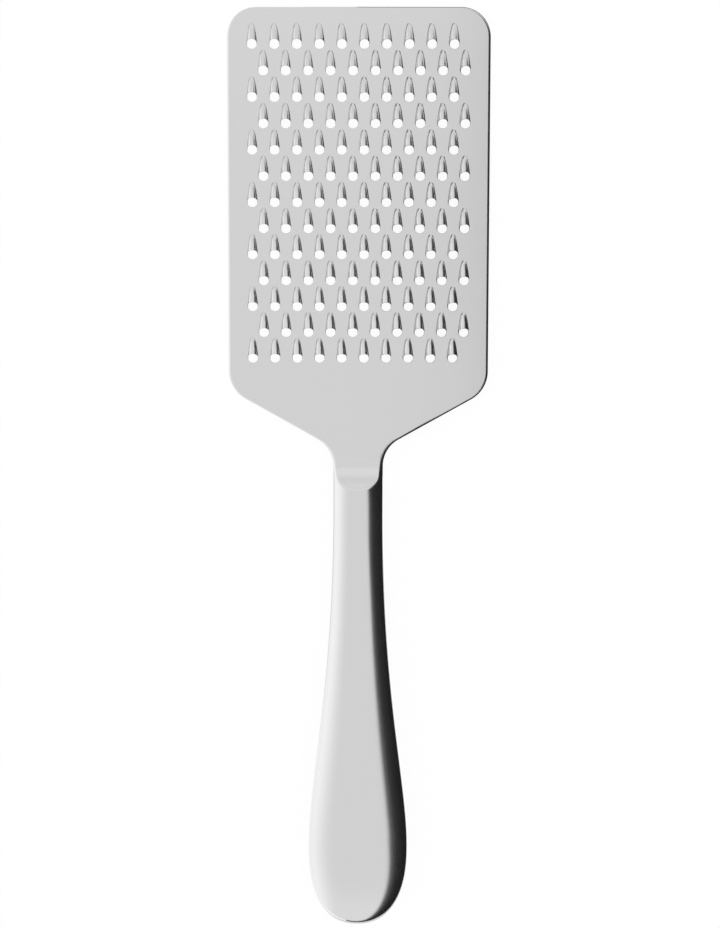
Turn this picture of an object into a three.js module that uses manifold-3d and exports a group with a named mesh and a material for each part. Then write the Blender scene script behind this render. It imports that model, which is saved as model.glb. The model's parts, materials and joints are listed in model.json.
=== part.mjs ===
// Hand grater: a toothed steel sheet set in a forged neck, with a hollow handle of two pressed shells.
// Millimetres, +Z up. The grater lies on its back, teeth up, on the belly of the handle and the tip edge.
// Along Y, distances are taken from the neck corner, where a shoulder of the sheet would meet the neck.

import * as THREE from 'three';
import { mergeVertices } from 'three/addons/utils/BufferGeometryUtils.js';
import Module from 'manifold-3d';

// Sheet
const SHEET_THICKNESS = 1.2;
const BLADE_WIDTH = 77;
const BLADE_SIDE = 111.4;        // tip edge to shoulder corner
const TIP_CORNER_RADIUS = 8.5;
const SHOULDER_RADIUS = 9.5;
const SHOULDER_DROP = 17.3;      // shoulder corner to neck corner
const NECK_FILLET = 8;

// Teeth
const ROW_PITCH = 7.6;
const TOOTH_PITCH = 6.57;
const FIRST_ROW = 10.6;          // tip edge to the holes of the first row
const LAST_ROW_MARGIN = 9;       // least distance from the holes of the last row to the shoulder corners
const SIDE_MARGIN = 7.1;         // least distance from a hole's centre to the side edge
const HOLE_RADIUS = 1.4;
const HOLE_SLANT = 40;           // degrees that the hole runs in under the hood
const HOLE_SET = 0.3;            // how far the hole's axis is set in behind the mouth
const HOOD_RADIUS = 1.6;
const HOOD_REACH = 5.7;          // mouth to the nose of the hood
const LIP_LEAN = 36;             // degrees that the mouth leans back from upright

// Handle, outside
const NECK_WIDTH = 14.8;
const NECK_THICKNESS = 7;
const NECK_STRAIGHT = 18.4;      // neck corner to where the handle starts to swell
const SWELL_LENGTH = 103.4;      // from there to the widest place
const SWELL_EASE_IN = 56;
const SWELL_EASE_OUT = 20;
const BELLY_WIDTH = 30.2;
const BELLY_THICKNESS = 12.4;
const TAIL_LENGTH = 24.1;        // widest place to the end
const TAIL_WIDTH_POWER = 2.35;   // 2 is an ellipse, more is blunter
const TAIL_THICKNESS_POWER = 2.2;

// Neck forging and the root of the sheet inside it
const SCOOP_RADIUS = 15;
const SCOOP_START = 3.2;         // neck corner to where the scoop leaves the sheet
const LIP_EDGE = 0.3;            // thickness of the cheeks where they end on the sheet
const ROOT_THICKNESS = 1;        // the sheet is thinned where the cheeks hold it
const ROOT_SEAT = 11;            // neck corner to the step that stops the sheet
const ROOT_TONGUE = 6;           // length of the narrow tongue beyond that step
const TONGUE_WIDTH = 9;
const CROWN_LAND = 5;            // top of the scoop to the mouth of the shells
const SPIGOT_LENGTH = 7;
const TANG_LENGTH = 58;
const TANG_WIDTH = 7;
const TANG_THICKNESS = 2.4;
const KEY_HOLE_RADIUS = 1.6;
const KEY_HOLE_SPACING = 24;

// Shells and what fills them
const SHELL_WALL = 1;
const BRAZE_THICKNESS = 0.3;
const WELD_DEPTH = 0.7;
const WELD_HEIGHT = 1.6;
const FIT_GAP = 0.1;             // between pieces that seat on one another
const MERGE_DISTANCE = 1e-4;     // corners closer than this are one corner

// Facets
const HANDLE_SIDES = 24;
const HOOD_SIDES = 8;
const HOLE_SIDES = 8;
const PIN_SIDES = 12;
const SCOOP_SIDES = 120;
const SWELL_STEPS = 9;
const TAIL_STEPS = 6;
const FLARE_STEPS = 3;
const CORNER_STEPS = 6;

// Places that follow from the sizes above
const TIP = SHOULDER_DROP + BLADE_SIDE;
const SHEET_TOP = SHEET_THICKNESS / 2;
const TOOTH_ROWS = 1 + Math.floor((BLADE_SIDE - FIRST_ROW - LAST_ROW_MARGIN) / ROW_PITCH);
const TEETH_PER_ROW = Math.floor((BLADE_WIDTH - 2 * SIDE_MARGIN + TOOTH_PITCH / 2) / TOOTH_PITCH);
const LIP = scoopReach(LIP_EDGE);
const CROWN = scoopReach(NECK_THICKNESS / 2 - SHEET_TOP);
const MOUTH = CROWN - CROWN_LAND;
const ROOT_START = LIP + FIT_GAP;
const ROOT_END = -(ROOT_SEAT + ROOT_TONGUE);
const SPIGOT_END = MOUTH - SPIGOT_LENGTH;
const TANG_END = SPIGOT_END - TANG_LENGTH;
const BELLY = -(NECK_STRAIGHT + SWELL_LENGTH);
const SHOULDER_TURN = Math.atan2(BLADE_WIDTH / 2 - NECK_WIDTH / 2, SHOULDER_DROP);
const FLARE_END = -NECK_FILLET * Math.tan(SHOULDER_TURN / 2);
const CAVITY = SHELL_WALL + FIT_GAP;
const SPIGOT_INSET = CAVITY + BRAZE_THICKNESS + FIT_GAP;
const FAR = 2 * (TIP - BELLY);   // longer than the whole grater, for cutting blocks

const wasm = await Module();
wasm.setup();

// Where the scoop has risen this far above the sheet
function scoopReach(rise) {
  return -SCOOP_START - Math.sqrt(rise * (2 * SCOOP_RADIUS - rise));
}

// A closed geometry as a solid that can be joined and cut
function solid(geometry) {
  const bare = new THREE.BufferGeometry();
  bare.setAttribute('position', geometry.attributes.position);
  bare.setIndex(geometry.index);
  const merged = mergeVertices(bare, MERGE_DISTANCE);
  const corners = merged.index.array;
  const triangles = [];
  for (let i = 0; i < corners.length; i += 3) {
    const [a, b, c] = corners.slice(i, i + 3);
    if (a !== b && b !== c && c !== a) triangles.push(a, b, c);
  }
  return new wasm.Manifold(new wasm.Mesh({
    numProp: 3,
    vertProperties: new Float32Array(merged.attributes.position.array),
    triVerts: new Uint32Array(triangles),
  }));
}

// The geometry of a finished solid
function geometryOf(body) {
  const mesh = body.getMesh();
  const geometry = new THREE.BufferGeometry();
  geometry.setAttribute('position', new THREE.BufferAttribute(mesh.vertProperties, mesh.numProp));
  geometry.setIndex(new THREE.BufferAttribute(mesh.triVerts, 1));
  return geometry;
}

// A block between two corners
function block(from, to) {
  const size = new THREE.Vector3().subVectors(to, from);
  const centre = new THREE.Vector3().addVectors(from, to).multiplyScalar(0.5);
  return solid(new THREE.BoxGeometry(size.x, size.y, size.z).translate(centre.x, centre.y, centre.z));
}

// All space between two places along the grater
function slice(fromY, toY) {
  return block(new THREE.Vector3(-FAR, fromY, -FAR), new THREE.Vector3(FAR, toY, FAR));
}

// All space between two heights
function layer(fromZ, toZ) {
  return block(new THREE.Vector3(-FAR, -FAR, fromZ), new THREE.Vector3(FAR, FAR, toZ));
}

// A bar of this width and thickness along the middle line
function bar(width, thickness, fromY, toY) {
  return block(
    new THREE.Vector3(-width / 2, fromY, -thickness / 2),
    new THREE.Vector3(width / 2, toY, thickness / 2),
  );
}

// A round pin through the thickness at a place on the middle line
function pin(radius, y) {
  const geometry = new THREE.CylinderGeometry(radius, radius, BELLY_THICKNESS, PIN_SIDES);
  return solid(geometry.rotateX(Math.PI / 2).translate(0, y, 0));
}

// A closed outline whose corners are rounded by arcs that touch both sides
function roundedShape(corners) {
  const shape = new THREE.Shape();
  corners.forEach(({ x, y, radius }, i) => {
    const corner = new THREE.Vector2(x, y);
    if (!radius) {
      if (i === 0) shape.moveTo(x, y);
      else shape.lineTo(x, y);
      return;
    }
    const before = corners[(i + corners.length - 1) % corners.length];
    const after = corners[(i + 1) % corners.length];
    const back = new THREE.Vector2(before.x, before.y).sub(corner).normalize();
    const ahead = new THREE.Vector2(after.x, after.y).sub(corner).normalize();
    const half = Math.acos(back.dot(ahead)) / 2;
    const start = corner.clone().addScaledVector(back, radius / Math.tan(half));
    const end = corner.clone().addScaledVector(ahead, radius / Math.tan(half));
    const middle = back.clone().add(ahead).normalize().multiplyScalar(radius / Math.sin(half)).add(corner);
    const clockwise = back.cross(ahead) > 0;
    if (i === 0) shape.moveTo(start.x, start.y);
    else shape.lineTo(start.x, start.y);
    const from = Math.atan2(start.y - middle.y, start.x - middle.x);
    const to = Math.atan2(end.y - middle.y, end.x - middle.x);
    shape.absarc(middle.x, middle.y, radius, from, to, clockwise);
  });
  shape.closePath();
  return shape;
}

// Plan of the sheet: tip, shoulders, neck and the tongue that enters the forging
function sheetShape() {
  const right = [
    { x: BLADE_WIDTH / 2, y: TIP, radius: TIP_CORNER_RADIUS },
    { x: BLADE_WIDTH / 2, y: SHOULDER_DROP, radius: SHOULDER_RADIUS },
    { x: NECK_WIDTH / 2, y: 0, radius: NECK_FILLET },
    { x: NECK_WIDTH / 2, y: -ROOT_SEAT },
    { x: TONGUE_WIDTH / 2, y: -ROOT_SEAT },
    { x: TONGUE_WIDTH / 2, y: ROOT_END },
  ];
  const left = right.map((corner) => ({ ...corner, x: -corner.x })).reverse();
  return roundedShape([...right, ...left]);
}

// Centres of the holes: rows shifted by a quarter pitch to either side in turn
function toothCentres() {
  const centres = [];
  for (let row = 0; row < TOOTH_ROWS; row++) {
    const shift = (row % 2 === 0 ? -1 : 1) * TOOTH_PITCH / 4;
    for (let column = 0; column < TEETH_PER_ROW; column++) {
      const x = (column - (TEETH_PER_ROW - 1) / 2) * TOOTH_PITCH + shift;
      centres.push(new THREE.Vector3(x, TIP - FIRST_ROW - row * ROW_PITCH, SHEET_TOP));
    }
  }
  return centres;
}

// A long round bar along Y whose flat sides lie on this radius
function roundBar(radius, sides) {
  const corner = radius / Math.cos(Math.PI / sides);
  return new THREE.CylinderGeometry(corner, corner, 4 * HOOD_REACH, sides).rotateY(Math.PI / sides);
}

// One raised hood, solid: a bar that rises out of the upper face, cut off at its leaning mouth
function hoodSolid() {
  const rise = Math.asin(HOOD_RADIUS / HOOD_REACH);
  const mouth = new THREE.BoxGeometry(FAR, FAR, FAR).translate(0, -FAR / 2, 0);
  return solid(roundBar(HOOD_RADIUS, HOOD_SIDES).rotateX(-rise))
    .subtract(layer(-FAR, -SHEET_THICKNESS / 2))
    .subtract(solid(mouth.rotateX(-THREE.MathUtils.degToRad(LIP_LEAN))))
    .intersect(slice(-HOLE_RADIUS, 2 * HOOD_REACH));
}

// The slanted hole that runs through the sheet and hollows out the hood
function toothCut() {
  const slant = THREE.MathUtils.degToRad(90 - HOLE_SLANT);
  return solid(roundBar(HOLE_RADIUS, HOLE_SIDES).rotateX(-slant).translate(0, HOLE_SET, 0));
}

// Copies of one solid at many places, as one solid
function repeated(body, places) {
  const geometry = geometryOf(body);
  const copies = places.map(({ x, y, z }) => solid(geometry.clone().translate(x, y, z)));
  return copies.reduce((all, copy) => all.add(copy));
}

// The toothed sheet
function graterBlade() {
  const plate = new THREE.ExtrudeGeometry(sheetShape(), {
    depth: SHEET_THICKNESS,
    bevelEnabled: false,
    curveSegments: CORNER_STEPS,
  }).translate(0, 0, -SHEET_TOP);
  const root = slice(-FAR, ROOT_START);
  const thinned = root.subtract(layer(-ROOT_THICKNESS / 2, ROOT_THICKNESS / 2));
  const centres = toothCentres();
  return solid(plate)
    .subtract(thinned)
    .add(repeated(hoodSolid(), centres))
    .subtract(repeated(toothCut(), centres));
}

// Cross-sections of the handle from its end to the neck corner, drawn in by a wall
function handleSections(inset) {
  const sections = [];
  const add = (y, width, thickness) => sections.push({
    y,
    halfWidth: Math.max(width / 2 - inset, 0),
    halfThickness: Math.max(thickness / 2 - inset, 0),
  });
  const end = TAIL_LENGTH - inset;
  sections.push({ y: BELLY - end, halfWidth: 0, halfThickness: 0 });
  for (let i = 1; i < TAIL_STEPS; i++) {
    const along = Math.cos(i / TAIL_STEPS * Math.PI / 2);
    const width = (1 - along ** TAIL_WIDTH_POWER) ** (1 / TAIL_WIDTH_POWER);
    const thickness = (1 - along ** TAIL_THICKNESS_POWER) ** (1 / TAIL_THICKNESS_POWER);
    sections.push({
      y: BELLY - end * along,
      halfWidth: (BELLY_WIDTH / 2 - inset) * width,
      halfThickness: (BELLY_THICKNESS / 2 - inset) * thickness,
    });
  }
  const swell = new THREE.CubicBezierCurve(
    new THREE.Vector2(BELLY, 1),
    new THREE.Vector2(BELLY + SWELL_EASE_OUT, 1),
    new THREE.Vector2(-NECK_STRAIGHT - SWELL_EASE_IN, 0),
    new THREE.Vector2(-NECK_STRAIGHT, 0),
  );
  swell.getPoints(SWELL_STEPS).forEach(({ x: y, y: share }) => add(
    y,
    THREE.MathUtils.lerp(NECK_WIDTH, BELLY_WIDTH, share),
    THREE.MathUtils.lerp(NECK_THICKNESS, BELLY_THICKNESS, share),
  ));
  for (let i = 0; i <= FLARE_STEPS; i++) {
    const y = FLARE_END * (1 - i / FLARE_STEPS);
    const flare = NECK_FILLET - Math.sqrt(NECK_FILLET ** 2 - (y - FLARE_END) ** 2);
    add(y, NECK_WIDTH + 2 * flare, NECK_THICKNESS);
  }
  sections.push({ y: 0, halfWidth: 0, halfThickness: 0 });
  return sections;
}

// The handle's body: a turned profile pressed to the thickness of each section
function handleBody(inset) {
  const sections = handleSections(inset);
  const profile = sections.map(({ halfWidth, y }) => new THREE.Vector2(halfWidth, y));
  const geometry = new THREE.LatheGeometry(profile, HANDLE_SIDES);
  const position = geometry.attributes.position;
  for (let i = 0; i < position.count; i++) {
    const { halfWidth, halfThickness } = sections[i % sections.length];
    if (halfWidth > 0) position.setZ(i, position.getZ(i) * halfThickness / halfWidth);
  }
  return solid(geometry);
}

// The neck forging: two cheeks round the root of the sheet, a spigot in the shells and a tang
function neckBolster() {
  const scoop = new THREE.CylinderGeometry(SCOOP_RADIUS, SCOOP_RADIUS, FAR, SCOOP_SIDES).rotateZ(Math.PI / 2);
  const above = solid(scoop.clone().translate(0, -SCOOP_START, SHEET_TOP + SCOOP_RADIUS));
  const below = solid(scoop.clone().translate(0, -SCOOP_START, -SHEET_TOP - SCOOP_RADIUS));
  const cheeks = handleBody(0).intersect(slice(MOUTH, LIP)).subtract(above).subtract(below);
  const spigot = handleBody(SPIGOT_INSET).intersect(slice(SPIGOT_END, -ROOT_SEAT - FIT_GAP));
  const tang = bar(TANG_WIDTH, TANG_THICKNESS, TANG_END, SPIGOT_END + FIT_GAP);
  const slotHeight = ROOT_THICKNESS + 2 * FIT_GAP;
  const slot = bar(FAR, slotHeight, -ROOT_SEAT - FIT_GAP, FAR);
  const pocket = bar(TONGUE_WIDTH + 2 * FIT_GAP, slotHeight, ROOT_END - FIT_GAP, FAR);
  const blank = cheeks.add(spigot).add(tang).subtract(slot).subtract(pocket);
  return keyHoles().reduce((body, y) => body.subtract(pin(KEY_HOLE_RADIUS, y)), blank);
}

// Places of the holes in the tang that the filler grips
function keyHoles() {
  const middle = (SPIGOT_END + TANG_END) / 2;
  return [middle - KEY_HOLE_SPACING / 2, middle + KEY_HOLE_SPACING / 2];
}

// One pressed half of the handle, above or below the seam
function handleShell(side) {
  const half = side > 0 ? layer(FIT_GAP / 2, FAR) : layer(-FAR, -FIT_GAP / 2);
  const wall = handleBody(0).subtract(handleBody(SHELL_WALL));
  return wall.intersect(slice(-FAR, MOUTH - FIT_GAP)).intersect(half);
}

// Braze between the spigot and the shells
function brazeSleeve() {
  const ring = handleBody(CAVITY).subtract(handleBody(CAVITY + BRAZE_THICKNESS));
  return ring.intersect(slice(SPIGOT_END + 2 * FIT_GAP, MOUTH - FIT_GAP));
}

// Root of the weld that runs inside along the seam, round the end of the handle
function seamWeld() {
  const ring = handleBody(CAVITY).subtract(handleBody(CAVITY + WELD_DEPTH));
  const seam = layer(-WELD_HEIGHT / 2, WELD_HEIGHT / 2);
  return ring.intersect(slice(-FAR, SPIGOT_END - FIT_GAP)).intersect(seam);
}

// The filler: it takes up the hollow of the handle and grips the tang
function handleFiller() {
  const grooveHalf = WELD_HEIGHT / 2 + FIT_GAP;
  const groove = layer(-grooveHalf, grooveHalf).subtract(handleBody(CAVITY + WELD_DEPTH + FIT_GAP));
  const pegs = keyHoles().map((y) => pin(KEY_HOLE_RADIUS - FIT_GAP, y));
  const slot = pegs.reduce(
    (hollow, peg) => hollow.subtract(peg),
    bar(TANG_WIDTH + 2 * FIT_GAP, TANG_THICKNESS + 2 * FIT_GAP, TANG_END - FIT_GAP, SPIGOT_END),
  );
  return handleBody(CAVITY).intersect(slice(-FAR, SPIGOT_END - FIT_GAP)).subtract(groove).subtract(slot);
}

// Angle at which the handle's back and the tip edge touch the table together
function restAngle() {
  const back = handleSections(0).filter(({ y }) => y < CROWN);
  back.push({ y: CROWN, halfThickness: NECK_THICKNESS / 2 });
  return Math.max(...back.map(({ y, halfThickness }) => Math.atan2(halfThickness - SHEET_TOP, TIP - y)));
}

const STEEL = { color: 0xcfd1d2, metalness: 1, roughness: 0.25 };
const BRAZE = { color: 0xc9bfa6, metalness: 1, roughness: 0.4 };
const WELD = { color: 0x9b9a98, metalness: 1, roughness: 0.5 };
const FILLER = { color: 0xb8b2a6, metalness: 0, roughness: 0.9 };

function piece(name, body, finish) {
  const mesh = new THREE.Mesh(geometryOf(body), new THREE.MeshStandardMaterial(finish));
  mesh.name = name;
  return mesh;
}

const grater = new THREE.Group();
grater.add(
  piece('grater_blade', graterBlade(), STEEL),
  piece('neck_bolster', neckBolster(), STEEL),
  piece('handle_front_shell', handleShell(1), STEEL),
  piece('handle_back_shell', handleShell(-1), STEEL),
  piece('braze_sleeve', brazeSleeve(), BRAZE),
  piece('seam_weld', seamWeld(), WELD),
  piece('handle_filler', handleFiller(), FILLER),
);

// Laid on the table, with the origin under the middle of the grater
grater.rotation.x = -restAngle();
const extent = new THREE.Box3().setFromObject(grater, true);
const middle = extent.getCenter(new THREE.Vector3());
grater.position.set(-middle.x, -middle.y, -extent.min.z);

export default grater;
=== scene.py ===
"""Looks of a one-hand grater in satin stainless steel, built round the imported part.

Each piece is modelled in the grater's own axes and then laid into the part's frame. Those axes start at the
neck corner, where a shoulder of the sheet would meet the neck: +Y runs to the tip, the teeth rise along +Z,
and height zero is the middle of the sheet.
"""

import json
import math

import bmesh
import bpy
from bpy.props import FloatProperty, FloatVectorProperty, IntProperty, PointerProperty
from bpy.types import Operator, Panel, PropertyGroup
from mathutils import Matrix, Vector


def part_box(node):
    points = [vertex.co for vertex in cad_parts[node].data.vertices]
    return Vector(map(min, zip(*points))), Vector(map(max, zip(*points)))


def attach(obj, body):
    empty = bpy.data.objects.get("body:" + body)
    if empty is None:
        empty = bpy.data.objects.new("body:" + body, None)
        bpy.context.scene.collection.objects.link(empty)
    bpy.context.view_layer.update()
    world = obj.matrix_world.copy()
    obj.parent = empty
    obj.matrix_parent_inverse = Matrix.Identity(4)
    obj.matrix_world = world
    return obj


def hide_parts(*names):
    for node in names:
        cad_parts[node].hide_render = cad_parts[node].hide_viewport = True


bl_info = {
    "name": "Hand Grater",
    "version": (1, 0, 0),
    "blender": (4, 5, 0),
    "location": "3D View > Sidebar > Grater",
    "description": "Builds a steel hand grater with raised teeth, and a studio to look at it in",
    "category": "Add Mesh",
}

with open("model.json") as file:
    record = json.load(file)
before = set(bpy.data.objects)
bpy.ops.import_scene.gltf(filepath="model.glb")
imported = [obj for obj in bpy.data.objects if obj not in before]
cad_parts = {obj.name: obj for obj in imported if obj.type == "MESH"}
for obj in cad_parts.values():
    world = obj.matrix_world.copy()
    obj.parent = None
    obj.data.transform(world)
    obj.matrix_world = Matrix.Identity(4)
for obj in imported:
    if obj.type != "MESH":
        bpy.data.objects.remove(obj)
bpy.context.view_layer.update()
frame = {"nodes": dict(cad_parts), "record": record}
BLADE_LOW, BLADE_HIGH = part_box("grater_blade")
SHEET_DOWN = Vector(frame["record"]["mounts"][0]["axis"])

MM = 0.001

# Fineness of the meshes, and the narrow strips that keep their shading clean
MERGE = 1e-7
ARC_STEPS = 12
EDGE_STEPS = 3
HANDLE_SIDES = 160
SWELL_STEPS = 56
TAIL_STEPS = 28
NECK_STEPS = 64
TOOTH_SIDES = 16
HOOD_STEPS = 3
SEAM_STRIP = 0.04 * MM
FLAT_BORDER = 0.05 * MM
CREASE = math.radians(50)

# How the rings of a tooth are spread over its hood, its foot, its lip and the wall of its hole
LEVEL = 1e-6
HOOD_SPREAD = 0.6
FOOT_SHARE = 0.1
FOOT_BOTTOM = 0.2
CORNER_STEP = 0.01 * MM
WALL_STEP = 0.06 * MM
LIP_SINK = 0.02 * MM
LIP_DEPTH = 0.4 * MM
SIDE_BLEND = 3

# Heights of the cards and low flags of the studio, and how far the handle flag runs behind the handle
FLAG_FOOT = 3.5 * MM
FLAG_END = -150 * MM
CARD_LIFT = 0.3 * MM


def linear(hex_colour):
    """An sRGB hex colour as linear red, green and blue."""
    channels = [int(hex_colour[i:i + 2], 16) / 255 for i in (1, 3, 5)]
    return [c / 12.92 if c <= 0.04045 else ((c + 0.055) / 1.055) ** 2.4 for c in channels]


def length(name, description, default):
    return FloatProperty(
        name=name, description=description, default=default, min=0, precision=5, unit="LENGTH")


def colour(name, description, hex_colour):
    return FloatVectorProperty(
        name=name, description=description, default=linear(hex_colour), min=0, max=1, size=3,
        subtype="COLOR")


def share(name, description, default):
    return FloatProperty(
        name=name, description=description, default=default, min=0, max=1, subtype="FACTOR")


class GraterSheet(PropertyGroup):
    """Sizes of the steel sheet."""
    width: length("Width", "Side to side", BLADE_HIGH.x - BLADE_LOW.x)
    thickness: length("Thickness", "Front face to back face", 1.2 * MM)
    side: length("Side", "Tip edge to shoulder corner", 111.4 * MM)
    tip_radius: length("Tip radius", "Rounding of the two corners at the tip", 8.5 * MM)
    shoulder_radius: length("Shoulder radius", "Rounding of the two shoulder corners", 9.5 * MM)
    shoulder_drop: length("Shoulder drop", "Shoulder corner to neck corner", 17.3 * MM)
    neck_fillet: length("Neck fillet", "Hollow curve from shoulder to neck", 9 * MM)
    edge_round: length("Edge rounding", "How far in from the outline the edges are rounded", 0.68 * MM)
    neck_edge: FloatProperty(
        name="Neck edge", description="How much broader the rounding gets along the neck fillet",
        default=1.7, min=0)
    root_width: length("Root width", "Tongue that enters the neck", 12.6 * MM)
    root_thickness: length("Root thickness", "Tongue that enters the neck", 0.7 * MM)
    root_length: length("Root length", "Tongue that enters the neck", 6 * MM)


class GraterTeeth(PropertyGroup):
    """Sizes and places of the teeth."""
    rows: IntProperty(name="Rows", description="Rows of teeth", default=13, min=1)
    per_row: IntProperty(name="Teeth in a row", description="Teeth in each row", default=10, min=1)
    row_pitch: length("Row pitch", "From one row to the next", 7.6 * MM)
    pitch: length("Tooth pitch", "From one tooth to the next in a row", 6.57 * MM)
    first_row: length("First row", "Tip edge to the first holes", 10.6 * MM)
    hole_radius: length("Hole radius", "Half the width of a hole", 1.52 * MM)
    mouth: length("Mouth", "Middle of a hole to the corners of the hood's mouth", 0.45 * MM)
    hood_radius: length("Hood radius", "Half the width of a hood at its mouth", 1.5 * MM)
    hood_reach: length("Hood reach", "Middle of a hole to the nose of its hood", 5.72 * MM)
    hood_taper: share("Hood taper", "How much narrower a hood is at its nose", 0.48)
    nose_power: FloatProperty(
        name="Hood nose", description="2 is a long round nose, more is blunter", default=4, min=1)
    hood_power: FloatProperty(
        name="Hood profile", description="1 is a straight rise, 2 is a round one", default=1.25, min=1)
    section_power: FloatProperty(
        name="Hood section", description="2 is an ellipse, more is flatter on top", default=2.25, min=1)
    lip_height: length("Lip height", "Top of the lip above the sheet", 1.375 * MM)
    lip_lean: FloatProperty(
        name="Lip lean", description="How far the mouth leans back from upright",
        default=math.radians(22), min=0, max=math.radians(80), subtype="ANGLE")
    lip_wall: length("Lip wall", "Thickness of the cutting lip", 0.14 * MM)
    foot: length("Foot", "Width of the hollow drawn in round a hood", 0.25 * MM)
    foot_sink: length("Foot sink", "Depth of that hollow", 0.06 * MM)
    back_reach: length("Back reach", "How far the hollow runs under the hood on the back", 3.4 * MM)


class GraterHandle(PropertyGroup):
    """Sizes of the neck and the handle."""
    neck_width: length("Neck width", "Side to side at the neck", 14.8 * MM)
    neck_thickness: length("Neck thickness", "Front to back at the neck", 7 * MM)
    neck_straight: length("Straight neck", "Neck corner to where the handle swells", 18.4 * MM)
    swell: length("Swell", "From there to the widest place", 103.4 * MM)
    ease_in: length("Ease in", "How slowly the swell begins", 56 * MM)
    ease_out: length("Ease out", "How slowly the swell ends", 20 * MM)
    belly_width: length("Belly width", "Side to side at the widest place", 30.2 * MM)
    belly_thickness: length("Belly thickness", "Front to back at the widest place", 12.4 * MM)
    tail: length("Tail", "Widest place to the end", 24.1 * MM)
    tail_width_power: FloatProperty(
        name="Tail outline", description="2 is an ellipse, more is blunter", default=2.35, min=1)
    tail_thickness_power: FloatProperty(
        name="Tail profile", description="2 is an ellipse, more is blunter", default=2.2, min=1)
    scoop_radius: length("Scoop radius", "Curve from the sheet up to the neck", 15 * MM)
    scoop_start: length("Scoop start", "Neck corner to where the scoop leaves the sheet", 3.2 * MM)
    rim: length("Rim", "Softness of the scoop's rim", 0.5 * MM)
    crown_land: length("Crown land", "Top of the scoop to the mouth of the shells", 5 * MM)
    wall: length("Shell wall", "Thickness of the pressed shells", 1 * MM)
    slot_depth: length("Slot depth", "Slot that takes the sheet's root", 6.5 * MM)
    slot_width: length("Slot width", "Slot that takes the sheet's root", 13 * MM)
    slot_height: length("Slot height", "Slot that takes the sheet's root", 0.8 * MM)
    spigot: length("Spigot", "Part of the neck inside the mouth of the shells", 7 * MM)
    spigot_inset: length("Spigot inset", "Spigot to the outside of the shells", 1.5 * MM)
    tang: length("Tang", "Bar from the spigot into the handle", 58 * MM)
    tang_width: length("Tang width", "Side to side", 7 * MM)
    tang_thickness: length("Tang thickness", "Front to back", 2.4 * MM)


class GraterFinish(PropertyGroup):
    """Colours and gloss of the finishes."""
    sheet_steel: colour("Sheet steel", "Satin stainless sheet", "#d0d0d0")
    sheet_roughness: share("Sheet roughness", "How far the sheet blurs what it mirrors", 0.23)
    sheet_lines: share("Sheet lines", "Strength of the brush lines on the sheet", 0.1)
    handle_steel: colour("Handle steel", "Polished satin stainless", "#d0d0d0")
    handle_roughness: share("Handle roughness", "How far neck and handle blur what they mirror", 0.13)
    handle_lines: share("Handle lines", "Strength of the brush lines on neck and handle", 0.08)
    braze: colour("Braze", "Silver braze as it set", "#c9bfa6")
    weld: colour("Weld", "Stainless weld bead", "#9b9a98")
    filler: colour("Filler", "Cast mineral filler", "#b8b2a6")


class GraterStudio(PropertyGroup):
    """The camera and the light."""
    paper: colour("Paper", "Floor and backdrop", "#fafafa")
    lens: FloatProperty(name="Lens", description="Focal length in millimetres", default=50, min=1)
    distance: length("Camera distance", "Camera to the middle of the picture", 385 * MM)
    lean: FloatProperty(
        name="Camera lean", description="Turn from square on to the sheet, towards the tip",
        default=math.radians(4.13), subtype="ANGLE")
    roll: FloatProperty(
        name="Camera roll", description="Turn about the line of sight",
        default=math.radians(0.1), subtype="ANGLE")
    aim_side: length("Aim, side", "Middle of the picture to the right of the neck", 0.5 * MM)
    aim_back: length("Aim, back", "Middle of the picture behind the neck corner", 4.78 * MM)
    left_light: FloatProperty(
        name="Left light", description="Brightness of the left wall against the ceiling",
        default=1.41, min=0)
    card_light: FloatProperty(
        name="Card light", description="Brightness of the card left of the grater against the paper",
        default=1.35, min=0)
    felt: colour("Felt", "Black felt on the flags", "#262626")
    flag_height: length("Flag height", "Floor to the side flag above the grater's middle", 228 * MM)
    flag_reach: length("Flag reach", "Grater's middle to where the side flag meets the floor", 600 * MM)
    flag_turn: FloatProperty(
        name="Floor flag turn", description="Turn of the flag on the floor away from the handle",
        default=math.radians(4.6), subtype="ANGLE")


def sheet_tip(sheet):
    return sheet.shoulder_drop + sheet.side


def scoop_reach(handle, rise):
    """Where the scoop has risen this far above the sheet."""
    return -handle.scoop_start - math.sqrt(rise * (2 * handle.scoop_radius - rise))


def scoop_rise(handle, y):
    """How far the scoop stands above the sheet here."""
    run = max(-handle.scoop_start - y, 0)
    return handle.scoop_radius - math.sqrt(max(handle.scoop_radius ** 2 - run ** 2, 0))


def scoop_crown(handle, sheet):
    return scoop_reach(handle, handle.neck_thickness / 2 - sheet.thickness / 2)


def shell_mouth(handle, sheet):
    return scoop_crown(handle, sheet) - handle.crown_land


def rest_place(sheet):
    """The move from the grater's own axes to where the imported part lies."""
    turn = Matrix.Rotation(math.asin(SHEET_DOWN.y), 4, "X")
    front = turn @ Vector((0, sheet_tip(sheet), sheet.thickness / 2))
    back = turn @ Vector((0, sheet_tip(sheet), -sheet.thickness / 2))
    return Matrix.Translation((0, BLADE_HIGH.y - front.y, BLADE_LOW.z - back.z)) @ turn


def verts_of(geom):
    return [g for g in geom if isinstance(g, bmesh.types.BMVert)]


def edges_of(geom):
    return [g for g in geom if isinstance(g, bmesh.types.BMEdge)]


def everything(bm):
    return bm.verts[:] + bm.edges[:] + bm.faces[:]


def next_ring(bm, ring):
    """Extrudes a closed ring of vertices, and gives the new ring in the same order."""
    edges = [bm.edges.get(pair) for pair in zip(ring, ring[1:] + ring[:1])]
    made = set(verts_of(bmesh.ops.extrude_edge_only(bm, edges=edges)["geom"]))
    return [next(e.other_vert(v) for e in v.link_edges if e.other_vert(v) in made) for v in ring]


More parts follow.
